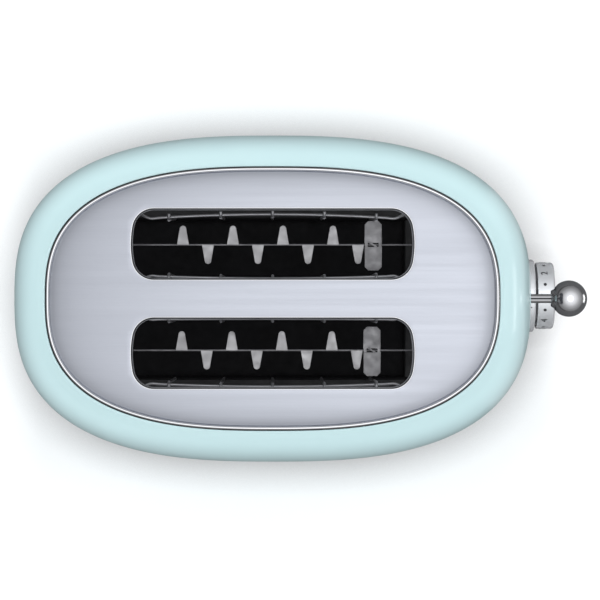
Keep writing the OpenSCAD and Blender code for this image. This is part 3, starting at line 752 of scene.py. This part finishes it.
def round_corner(x1, r_out, radius, n=8):
    """(along, radius) points of an outer corner rounded off at x1."""
    return [(x1 - radius + radius * math.sin(q), r_out - radius + radius * math.cos(q))
            for q in np.linspace(0, math.pi / 2, n)]


def make_collar():
    lo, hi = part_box("dial_collar")
    r_out, depth = (hi.z - lo.z) / 2, 14 * MM
    r_in, x0 = r_out - 2.6 * MM, hi.x - depth
    profile = [(0, r_out)]
    profile += round_corner(depth, r_out, 1.3 * MM)
    profile += [(depth, r_in + 0.4 * MM), (depth - 0.4 * MM, r_in), (0, r_in), (0, r_out)]
    collar = Builder().lathe(profile, (x0, DIAL_Y, DIAL_Z), steps=128).build("dial_ring", satin_chrome, 40)
    place(collar, "body", "chrome", "dial_collar")
    back = Builder().lathe(
        [(0, 0.0005), (0, r_in + 0.3 * MM), (1 * MM, r_in + 0.3 * MM), (1 * MM, 0.0005)],
        (hi.x - 3 * MM, DIAL_Y, DIAL_Z), steps=64,
    ).build("dial_ring_back", dark_parts)
    place(back, "body", "dark_parts")
    mark = Builder()
    turn = math.radians(INDEX_TURN_DEG)
    wrap_patch(mark, [(-0.0019, -0.0003), (0.0019, -0.0003), (0.0019, 0.0003), (-0.0019, 0.0003)],
               hi.x - 4.1 * MM, r_out, turn)
    place(mark.build("dial_index", ink), "body", "dark_parts")


def wrap_patch(builder, outline, x, radius, turn, lift=0.00004):
    """An inked patch on a cylinder about the dial's axis: outline is (along, around), turn from the top."""
    rings = []
    for rad in (radius - 0.0002, radius + lift):
        ring = []
        for u, v in outline:
            q = turn + v / radius
            ring.append((x + u, DIAL_Y + rad * math.sin(q), DIAL_Z + rad * math.cos(q)))
        rings.append(ring)
    builder.grid(rings, caps=True)


def digit_mesh(text, size):
    """A generic numeral as flat triangles, centred: (vertices, faces)."""
    curve = bpy.data.curves.new("numeral", "FONT")
    curve.body, curve.size = text, size
    curve.align_x, curve.align_y = "CENTER", "CENTER"
    curve.resolution_u = 6
    curve.extrude = 0.0001
    holder = bpy.data.objects.new("numeral", curve)
    bpy.context.collection.objects.link(holder)
    mesh = bpy.data.meshes.new_from_object(holder.evaluated_get(bpy.context.evaluated_depsgraph_get()))
    verts = [tuple(v.co) for v in mesh.vertices]
    faces = [list(p.vertices) for p in mesh.polygons]
    bpy.data.objects.remove(holder)
    return verts, faces


def make_dial():
    x0, x1 = DIAL_LO.x, DIAL_HI.x
    depth = x1 - x0
    face_r = DIAL_R - 1.8 * MM
    profile = [(0, DIAL_R - 2.2 * MM), (0, DIAL_R - 0.3 * MM), (0.3 * MM, DIAL_R)]
    profile += round_corner(depth, DIAL_R, 1.6 * MM)
    disc_x, disc_r = depth - 0.9 * MM, face_r - 1.6 * MM
    profile += [(depth - 0.2 * MM, face_r - 0.8 * MM), (disc_x, disc_r)]
    profile += [(disc_x + 0.6 * MM * (1 - k * k), k * disc_r) for k in (0.9, 0.7, 0.5, 0.3, 0.1)]
    profile += [(depth - 0.3 * MM, 0.0003), (2.2 * MM, 0.0003), (2.2 * MM, DIAL_R - 2.2 * MM), profile[0]]
    dial = Builder().lathe(profile, (x0, DIAL_Y, DIAL_Z), steps=160).build("dial_knob", satin_chrome, 40)
    place(dial, "dial", "chrome", "browning_dial")
    marks = Builder()
    mark_x = x0 + 4.3 * MM
    for k in range(6):
        turn = math.radians(DIAL_STEP_DEG * (2 - k) + MARK_TURN_DEG)
        verts, faces = digit_mesh(str(k + 1), 5.6 * MM)
        base = len(marks.verts)
        for u, v, w in verts:
            rad = DIAL_R + 0.00004 + (w if w > 0 else -0.0002)
            q = turn + u / DIAL_R
            marks.verts.append((mark_x - v, DIAL_Y + rad * math.sin(q), DIAL_Z + rad * math.cos(q)))
        marks.faces += [[base + i for i in f] for f in faces]
    for k in range(5):
        turn = math.radians(DIAL_STEP_DEG * (1.5 - k) + MARK_TURN_DEG)
        wrap_patch(marks, arc(0, 0, 0.95 * MM, 0, 2 * math.pi * 23 / 24, 24), mark_x, DIAL_R, turn)
    place(marks.build("dial_numbers", ink), "dial", "dark_parts")


# ---- Buttons ----

def make_buttons():
    rings = Builder()
    for name in ("reheat", "defrost", "bagel", "cancel"):
        node = "button_" + name
        joint = next(j for j in frame["joints"] if j["name"] == name + "_push")
        out = -Vector(joint["axis"])
        lo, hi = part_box(node)
        r = (hi.z - lo.z) / 2
        tip_y = hi.y - r * out.x if out.y > 0 else lo.y + r * out.x
        tip = Vector((hi.x - r * abs(out.y), tip_y, mid(lo.z, hi.z)))
        cap = [(-8 * MM, r), (-0.5 * MM, r), (-0.15 * MM, r - 0.15 * MM), (0, r - 0.5 * MM),
               (-0.25 * MM, r * 0.6), (-0.35 * MM, r * 0.3), (-0.38 * MM, 0.0003)]
        piece = oriented_lathe(cap, tip, out).build(name + "_button_cap", cap_white, 35)
        place(piece, name + "_button", "button_cap", node)
        foot = tip - out * (1.6 * MM)
        bezel_r = r + 2.2 * MM
        bore_r = r + 0.1 * MM
        ring = [(-6 * MM, bore_r), (-0.5 * MM, bore_r), (0, r + 0.5 * MM), (0, r + 1.2 * MM),
                (-0.4 * MM, bezel_r - 0.3 * MM), (-1.2 * MM, bezel_r), (-6 * MM, bezel_r), (-6 * MM, bore_r)]
        part = oriented_lathe(ring, foot, out)
        base = len(rings.verts)
        rings.verts += part.verts
        rings.faces += [[base + i for i in f] for f in part.faces]
    place(rings.build("button_rings", chrome, 40), "body", "chrome", "button_bezels")


# ---- Toasting chamber ----

def make_racks():
    """Four wire racks, each with its row, the side it bows to, and its bow in mm at middle and ends."""
    wire = RACK_WIRE_R
    plans = {
        "front_outer": (-1, -1, 19.4, 17.7), "front_inner": (-1, 1, 19.2, 18.8),
        "rear_inner": (1, -1, 19.2, 17.8), "rear_outer": (1, 1, 17.3, 14.9),
    }
    for name, (row, out, middle, ends) in plans.items():
        lo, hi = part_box("guide_rack_" + name)
        y0 = mid(lo.y, hi.y)
        pivot_z = lo.z + wire
        top_z = hi.z

        def rail_y(x):
            u = (x - centre_x) / (70 * MM)
            return row * SLOT_Y + out * (middle - (middle - ends) * u * u) * MM

        # The pivot rods take the near-black chamber steel: painted shade low in the chamber.
        pivot = Builder().tube([(lo.x, y0, pivot_z), (hi.x, y0, pivot_z)], wire)
        place(pivot.build("rack_pivot_" + name, dark_steel, 60), "rack_" + name, "wire_steel")
        rack = Builder()
        rail_z = top_z - 4.5 * MM
        xs = np.linspace(-RAIL_HALF, RAIL_HALF, 29) * MM + centre_x
        rail = [(x, rail_y(x), rail_z) for x in xs]
        hook = [(5 * MM, 2.2 * MM, -0.5 * MM), (8 * MM, 4.2 * MM, -3 * MM), (9 * MM, 4.8 * MM, -9 * MM)]
        left = [(xs[0] - dx, rail[0][1] + out * dy, rail_z + dz) for dx, dy, dz in hook[::-1]]
        right = [(xs[-1] + dx, rail[-1][1] + out * dy, rail_z + dz) for dx, dy, dz in hook]
        rack.tube(smooth_path([*left, *rail, *right], 4), wire * 0.9)
        for k in range(-2, 3):
            x = centre_x + k * POST_STEP
            y = rail_y(x) - out * 1.3 * MM
            post = [(x, y0, pivot_z), (x, mid(y0, y), mid(pivot_z, rail_z)), (x, y, rail_z - 4 * MM),
                    (x, y, rail_z + 0.6 * MM), (x, y + out * 1.0 * MM, top_z - 1.8 * MM),
                    (x, y + out * 3.2 * MM, top_z - wire)]
            rack.tube(smooth_path(post, 6), wire)
        rack = rack.build("wire_rack_" + name, wire_steel, 60)
        place(rack, "rack_" + name, "wire_steel", "guide_rack_" + name)


def tooth_outline(x, side, half_t, length):
    """Plan points of one bent tab: wide at the strip, with a round tip."""
    root, tip = 3.4 * MM, 1.9 * MM
    end = half_t + length - tip
    pts = [(x + root, 0), (x + root * 0.98, half_t + 0.6 * MM)]
    pts += [(x + tip * math.cos(q), end + tip * math.sin(q)) for q in np.linspace(0.2, math.pi - 0.2, 12)]
    pts += [(x - root * 0.98, half_t + 0.6 * MM), (x - root, 0)]
    return [(px, side * py) for px, py in pts]


def make_carriers():
    for row, node in ((-1, "bread_carrier_front"), (1, "bread_carrier_rear")):
        lo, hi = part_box(node)
        sheet = 1.0 * MM
        top = hi.z - sheet
        strip_y = row * SLOT_Y + STRIP_SHIFT
        nudge = (0.1 if row > 0 else -0.6) * MM
        part = Builder()
        x0, y0, y1 = lo.x + 3.5 * MM, strip_y - 0.4 * MM, strip_y + 0.4 * MM
        rail = Builder().prism([(x0, y0), (hi.x, y0), (hi.x, y1), (x0, y1)], top - 8 * MM, top - 0.3 * MM)
        place(rail.build(node + "_rail", rail_steel), "carriage", "wire_steel")
        for k in range(4):
            for side, shift in ((1, 0), (-1, 0.5)):
                x = centre_x + (FIRST_TOOTH_X + (k + shift) * TOOTH_STEP) * MM + nudge
                outline = [(px, py + strip_y) for px, py in tooth_outline(x, side, sheet / 2, TOOTH_L)]
                part.prism(outline if side > 0 else outline[::-1], top - sheet, top)
        mid_x = centre_x + CROSS_X + nudge
        cross = Builder()
        for outline in cross_plate(mid_x, row * SLOT_Y, 4.9 * MM, 14.35 * MM, 2 * MM):
            cross.prism(outline, top, top + sheet)
        tab = [(-2.6, -0.5), (2.6, -0.5), (2.6, 0.5), (-2.6, 0.5)]
        turn = math.radians(-32)
        twisted = [(mid_x + (u * math.cos(turn) - v * math.sin(turn)) * MM,
                    strip_y + (u * math.sin(turn) + v * math.cos(turn)) * MM) for u, v in tab]
        cross.prism(twisted, top - 1 * MM, top + sheet)
        place(soften(cross.build(node + "_cross", cross_steel, 30), 0.15 * MM), "carriage", "wire_steel")
        carrier = soften(part.build(node + "_strip", carrier_steel, 30), 0.15 * MM)
        place(carrier, "carriage", "wire_steel", node)


def cross_plate(x, y, cx, cy, chamfer):
    """The cross plate as four plan outlines round a small oblong hole at the strip."""
    hole_x, hole_y, hole_mid = 3.1 * MM, 1.25 * MM, STRIP_SHIFT
    top, bottom = hole_mid + hole_y, hole_mid - hole_y
    in_x, in_y = cx - chamfer, cy - chamfer
    upper = [(-cx, top), (cx, top), (cx, in_y), (in_x, cy), (-in_x, cy), (-cx, in_y)]
    lower = [(-cx, -in_y), (-in_x, -cy), (in_x, -cy), (cx, -in_y), (cx, bottom), (-cx, bottom)]
    left = [(-cx, bottom), (-hole_x, bottom), (-hole_x, top), (-cx, top)]
    right = [(hole_x, bottom), (cx, bottom), (cx, top), (hole_x, top)]
    return [[(x + px, y + py) for px, py in part] for part in (upper, lower, left, right)]


def make_spring():
    lo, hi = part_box("return_spring")
    x, y = mid(lo.x, hi.x), mid(lo.y, hi.y)
    wire, turns, steps = 0.5 * MM, 12, 24
    mean = (hi.x - lo.x) / 2 - wire
    climb = hi.z - lo.z - 2 * wire
    path = []
    for i in range(turns * steps + 1):
        q = 2 * math.pi * i / steps
        z = lo.z + wire + climb * (i / (turns * steps))
        path.append((x + mean * math.cos(q), y + mean * math.sin(q), z))
    spring = Builder().tube(path, wire, 8).build("coil_spring", wire_steel, 80)
    place(spring, "body", "wire_steel", "return_spring")
    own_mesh(spring)


def dress_cad_nodes():
    """Materials and softened edges for the CAD nodes that are shown as they are."""
    finishes = {
        black_plastic: ["base_pan", "cord_cleats", "control_bracket"],
        rubber: ["cord_gland", "post_bumper"],
        chassis_steel: ["pan_screws", "foot_screws", "post_bracket_top", "post_bracket_bottom", "magnet_core",
                        "carriage_arm", "armature_plate", "dial_shaft"],
        # The chamber's end plates and reflectors are near black: painted shade.
        dark_steel: ["chassis_end_left", "chassis_end_right", "reflector_front", "reflector_rear"],
        mica: ["heater_card_front", "heater_card_centre", "heater_card_rear"],
        ribbon_alloy: ["heater_ribbon_front", "heater_ribbon_centre", "heater_ribbon_rear"],
        chrome: ["guide_post"],
        copper: ["magnet_coil"],
        board_green: ["control_board"],
        dark_parts: ["board_parts", "browning_pot", "button_switches"],
        nylon: ["carriage_block"],
    }
    for mat, names in finishes.items():
        for name in names:
            obj = frame["nodes"][name]
            obj.data.materials.clear()
            obj.data.materials.append(mat)
            obj.visible_glossy = mat in (black_plastic, rubber)
    for name in ("base_pan", "cord_cleats", "cord_gland", "control_bracket", "carriage_block"):
        soften(frame["nodes"][name], 0.4 * MM)


# ---- Setting ----

def make_floor():
    """A pale floor: painted dark in mirrors, glowing a little for stray light as painted bounce light, and
    darkened by a painted contact shadow where the body is near.
    """
    mesh = bpy.data.meshes.new("floor")
    s = 4.0
    mesh.from_pydata([(-s, -s, 0), (s, -s, 0), (s, s, 0), (-s, s, 0)], [], [[0, 1, 2, 3]])
    mat = material("pale_floor", (0.95, 0.95, 0.955), roughness=0.8)
    nodes, links = mat.node_tree.nodes, mat.node_tree.links
    path = nodes.new("ShaderNodeLightPath")
    unseen, seen = nodes.new("ShaderNodeMix"), nodes.new("ShaderNodeMix")
    unseen.data_type = seen.data_type = "RGBA"
    links.new(path.outputs["Is Glossy Ray"], unseen.inputs[0])
    links.new(path.outputs["Is Camera Ray"], seen.inputs[0])
    # Glossy rays see the floor near black: a painted dark reflection.
    unseen.inputs[6].default_value = (0.90, 0.90, 0.91, 1)
    unseen.inputs[7].default_value = (0.08, 0.08, 0.082, 1)
    seen.inputs[7].default_value = (0.95, 0.95, 0.955, 1)
    shader = shader_of(mat)
    links.new(unseen.outputs[2], seen.inputs[6])
    shader.inputs["Specular IOR Level"].default_value = 0.0
    # An ambient occlusion node multiplies into the base colour: a painted contact shadow where the body is
    # near.
    contact = nodes.new("ShaderNodeAmbientOcclusion")
    contact.inputs["Distance"].default_value = 0.034
    contact.samples = 8
    lift, near = nodes.new("ShaderNodeMath"), nodes.new("ShaderNodeMix")
    lift.operation = "MULTIPLY"
    lift.inputs[1].default_value = 0.4
    # The floor glows a little for diffuse rays: painted bounce light.
    links.new(path.outputs["Is Diffuse Ray"], lift.inputs[0])
    links.new(lift.outputs[0], shader.inputs["Emission Strength"])
    near.data_type, near.blend_type = "RGBA", "MULTIPLY"
    near.inputs[0].default_value = 1.0
    links.new(seen.outputs[2], near.inputs[6])
    links.new(contact.outputs["Color"], near.inputs[7])
    links.new(near.outputs[2], shader.inputs["Base Color"])
    shader.inputs["Emission Color"].default_value = (1, 1, 1, 1)
    mesh.materials.append(mat)
    floor = bpy.data.objects.new("floor", mesh)
    bpy.context.collection.objects.link(floor)


def add_softbox(name, turn_deg, tilt_deg, size, energy, glossy=False, shape="RECTANGLE"):
    """A soft light facing the part, tilt_deg from overhead and turn_deg round from +X.

    A glossy one shows in polished metal and lights nothing else; the others do the opposite."""
    tilt, turn = math.radians(tilt_deg), math.radians(turn_deg)
    away = Vector((math.sin(tilt) * math.cos(turn), math.sin(tilt) * math.sin(turn), math.cos(tilt)))
    light = bpy.data.lights.new(name, "AREA")
    light.shape, light.size, light.size_y = shape, size[0], size[1]
    light.energy = energy
    obj = bpy.data.objects.new(name, light)
    obj.location = away * 2.0 + Vector((0, 0, 0.1))
    obj.rotation_euler = away.to_track_quat("Z", "Y").to_euler()
    obj.visible_camera = False
    obj.visible_glossy = glossy
    obj.visible_diffuse = not glossy
    bpy.context.collection.objects.link(obj)
    return obj


def make_light():
    """An even room for matt surfaces, a bright ceiling that fades to the walls in mirrors, and softboxes."""
    world = bpy.data.worlds.new("studio")
    bpy.context.scene.world = world
    world.use_nodes = True
    nodes, links = world.node_tree.nodes, world.node_tree.links
    coords = nodes.new("ShaderNodeTexCoord")
    towards = nodes.new("ShaderNodeVectorMath")
    towards.operation = "DOT_PRODUCT"
    tilt = math.radians(8)
    towards.inputs[1].default_value = (math.sin(tilt), 0, math.cos(tilt))
    ramp = nodes.new("ShaderNodeValToRGB")
    links.new(coords.outputs["Generated"], towards.inputs[0])
    links.new(towards.outputs["Value"], ramp.inputs["Fac"])
    path, pick = nodes.new("ShaderNodeLightPath"), nodes.new("ShaderNodeMix")
    pick.data_type = "RGBA"
    pick.inputs[6].default_value = (0.80, 0.80, 0.81, 1)
    links.new(path.outputs["Is Glossy Ray"], pick.inputs[0])
    links.new(ramp.outputs["Color"], pick.inputs[7])
    links.new(pick.outputs[2], nodes["Background"].inputs["Color"])
    stops = ramp.color_ramp.elements
    falloff = [(0, 1.25), (9, 1.18), (15, 1.05), (22, 0.93), (32, 0.80), (42, 0.64), (53, 0.42),
               (75, 0.22), (87, 0.17)]
    levels = [(0.0, 0.05), *((math.cos(math.radians(a)), level) for a, level in falloff[::-1])]
    for i, (place_at, level) in enumerate(levels):
        stop = stops[i] if i < 2 else stops.new(place_at)
        stop.position = place_at
        stop.color = (level, level, level * 1.02, 1)
    add_softbox("rear_key", 90, 66, (0.6, 1.3), 17)
    add_softbox("front_fill", -90, 68, (0.5, 1.1), 12)
    add_softbox("left_fill", 180, 68, (0.7, 0.9), 10)
    add_softbox("right_fill", 0, 68, (0.4, 0.9), 11)
    glow = add_softbox("top_glow", 0, 0, (0.75, 0.75), 0.6, glossy=True, shape="ELLIPSE")
    glow.location = (0.24, 0, 1.2)
    strip = add_softbox("low_strip", 0, 90, (0.11, 0.07), 0.032, glossy=True)
    strip.location = (0.37, 0, 0.08)
    sheen = add_softbox("end_sheen", 0, 90, (0.16, 0.15), 0.011, glossy=True)
    sheen.location = (0.128, 0, 0.12)


def make_camera():
    """Looks straight down from well above the plate."""
    distance = 1.754
    plate_share = 227.3 / 600
    camera = bpy.data.cameras.new("camera")
    camera.sensor_width = 36.0
    camera.lens = camera.sensor_width * distance * plate_share / 0.1273
    camera.shift_x, camera.shift_y = 27.4 / 600, -1.4 / 600
    camera.clip_end = 20
    obj = bpy.data.objects.new("camera", camera)
    obj.location = (centre_x, 0, PLATE_Z + distance)
    bpy.context.collection.objects.link(obj)
    bpy.context.scene.camera = obj
    bpy.context.scene.view_settings.view_transform = "Standard"


make_camera()
make_shell()
make_top_plate()
make_slot_liners()
make_band()
make_tray()
make_feet()
make_lever()
make_collar()
make_dial()
make_buttons()
make_racks()
make_carriers()
make_spring()
dress_cad_nodes()
make_floor()
make_light()
